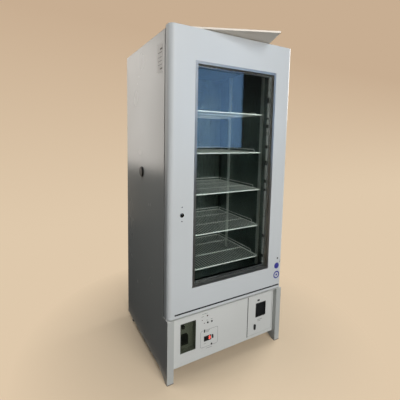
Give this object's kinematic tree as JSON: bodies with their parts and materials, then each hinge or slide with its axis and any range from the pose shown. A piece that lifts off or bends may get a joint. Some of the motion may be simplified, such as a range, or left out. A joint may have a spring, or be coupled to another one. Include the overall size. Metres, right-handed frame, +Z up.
{
  "type": "laboratory incubator",
  "caption": "Upright refrigerated laboratory incubator with a glazed swing door, wire shelves, a control panel in the base and a loose cover panel on top.",
  "frame": {"origin": "on the floor, midway between the side panels and midway between the closed door's face and the cabinet's back", "axes": "+X to the right seen from the front, +Y to the back, +Z up"},
  "size_m": [0.708, 0.7458, 1.6343],
  "materials": {
    "painted_steel": "semi-gloss light grey powder coat",
    "galvanised_steel": "zinc-coated sheet",
    "foam": "cut polyurethane foam",
    "stainless_liner": "brushed",
    "white_plastic": "moulded",
    "dark_plastic": "moulded",
    "smoked_acrylic": "polished",
    "lamp_lens": "moulded lens",
    "rubber_feet": "moulded",
    "dark_steel": "blackened",
    "anodised_aluminium": "satin anodised",
    "glass": "polished, tinted",
    "gasket_vinyl": "extruded",
    "zinc_steel": "zinc plated",
    "chrome_lock": "polished",
    "white_wire": "epoxy-coated wire",
    "fan_plastic": "moulded",
    "motor_steel": "pressed",
    "coil_aluminium": "mill finish",
    "black_enamel": "enamelled"
  },
  "bodies": {
    "cabinet": {"side_panel_left": "painted_steel", "side_panel_right": "painted_steel", "top_panel": "painted_steel", "rear_panel": "galvanised_steel", "insulation_foam": "foam", "chamber_liner": "stainless_liner", "front_frame": "white_plastic", "machine_deck": "painted_steel", "floor_plate": "galvanised_steel", "control_panel": "painted_steel", "control_tray": "dark_plastic", "control_box": "galvanised_steel", "timer_unit": "dark_plastic", "display_module": "dark_plastic", "indicator_lamps": "lamp_lens", "front_glides": "rubber_feet", "rear_feet": "dark_steel", "hinge_brackets": "zinc_steel", "hinge_pins": "zinc_steel", "lock_strike": "zinc_steel", "shelf_standards": "stainless_liner", "shelf_clips": "stainless_liner", "shelf_1": "white_wire", "shelf_2": "white_wire", "shelf_3": "white_wire", "shelf_4": "white_wire", "shelf_5": "white_wire", "duct_panel": "painted_steel", "fan_motor": "motor_steel", "evaporator": "coil_aluminium", "heater": "dark_steel", "compressor": "black_enamel", "condenser": "coil_aluminium", "fan_shroud": "dark_steel", "access_port": "dark_plastic", "power_inlet": "dark_plastic", "cabinet_screws": "zinc_steel"},
    "door": {"door_skin": "painted_steel", "door_foam": "foam", "door_inner_panel": "painted_steel", "window_trim": "anodised_aluminium", "outer_pane": "glass", "inner_pane": "glass", "door_gasket": "gasket_vinyl", "door_bushes": "white_plastic", "lock_housing": "chrome_lock"},
    "lock": {"lock_barrel": "chrome_lock"},
    "cover": {"smoked_cover": "smoked_acrylic"},
    "dial": {"thermostat_dial": "dark_plastic"},
    "hatch": {"service_hatch": "painted_steel", "hatch_window": "dark_plastic"},
    "latch": {"hatch_latch": "dark_plastic"},
    "key_up": {"up_button": "dark_plastic"},
    "key_down": {"down_button": "dark_plastic"},
    "key_alarm": {"alarm_button": "dark_plastic"},
    "rocker": {"light_switch": "dark_plastic"},
    "chamber_fan": {"circulation_fan": "fan_plastic"},
    "cooling_fan": {"condenser_fan": "fan_plastic"},
    "cap": {"port_cap": "dark_plastic"},
    "loose_panel": {"loose_cover_panel": "painted_steel"}
  },
  "joints": [
    {"name": "door_hinge", "type": "hinge", "parent": "cabinet", "child": "door", "pos_m": [0.334, -0.284, 0.968], "axis": [0, 0, 1], "range_deg": [0, 120]},
    {"name": "lock_turn", "type": "hinge", "parent": "door", "child": "lock", "pos_m": [-0.284, -0.31, 0.802], "axis": [0, -1, 0], "range_deg": [0, 90]},
    {"name": "cover_hinge", "type": "hinge", "parent": "cabinet", "child": "cover", "pos_m": [-0.268, -0.2823, 0.188], "axis": [0, 0, -1], "range_deg": [0, 95]},
    {"name": "dial_turn", "type": "hinge", "parent": "cabinet", "child": "dial", "pos_m": [-0.2436, -0.26, 0.226], "axis": [0, -1, 0], "range_deg": [-140, 140]},
    {"name": "hatch_hinge", "type": "hinge", "parent": "cabinet", "child": "hatch", "pos_m": [0.305, -0.282, 0.183], "axis": [0, 0, 1], "range_deg": [0, 100]},
    {"name": "latch_turn", "type": "hinge", "parent": "hatch", "child": "latch", "pos_m": [0.185, -0.285, 0.111], "axis": [0, -1, 0], "range_deg": [0, 90]},
    {"name": "key_up_press", "type": "slide", "parent": "cabinet", "child": "key_up", "axis": [0, 1, 0], "range_m": [0, 0.002], "stiffness_N_per_m": 400, "springref_m": -0.002},
    {"name": "key_down_press", "type": "slide", "parent": "cabinet", "child": "key_down", "axis": [0, 1, 0], "range_m": [0, 0.002], "stiffness_N_per_m": 400, "springref_m": -0.002},
    {"name": "key_alarm_press", "type": "slide", "parent": "cabinet", "child": "key_alarm", "axis": [0, 1, 0], "range_m": [0, 0.002], "stiffness_N_per_m": 400, "springref_m": -0.002},
    {"name": "rocker_tilt", "type": "hinge", "parent": "cabinet", "child": "rocker", "pos_m": [-0.089, -0.2844, 0.148], "axis": [1, 0, 0], "range_deg": [0, 16]},
    {"name": "chamber_fan_spin", "type": "hinge", "parent": "cabinet", "child": "chamber_fan", "pos_m": [0, 0.216, 1.42], "axis": [0, 1, 0], "continuous": true},
    {"name": "cooling_fan_spin", "type": "hinge", "parent": "cabinet", "child": "cooling_fan", "pos_m": [0.13, -0.136, 0.172], "axis": [0, 1, 0], "continuous": true},
    {"name": "cap_pull", "type": "slide", "parent": "cabinet", "child": "cap", "axis": [-1, 0, 0], "range_m": [0, 0.06]},
    {"name": "panel_lift", "type": "slide", "parent": "cabinet", "child": "loose_panel", "axis": [0, 0, 1], "range_m": [0, 0.3]}
  ]
}
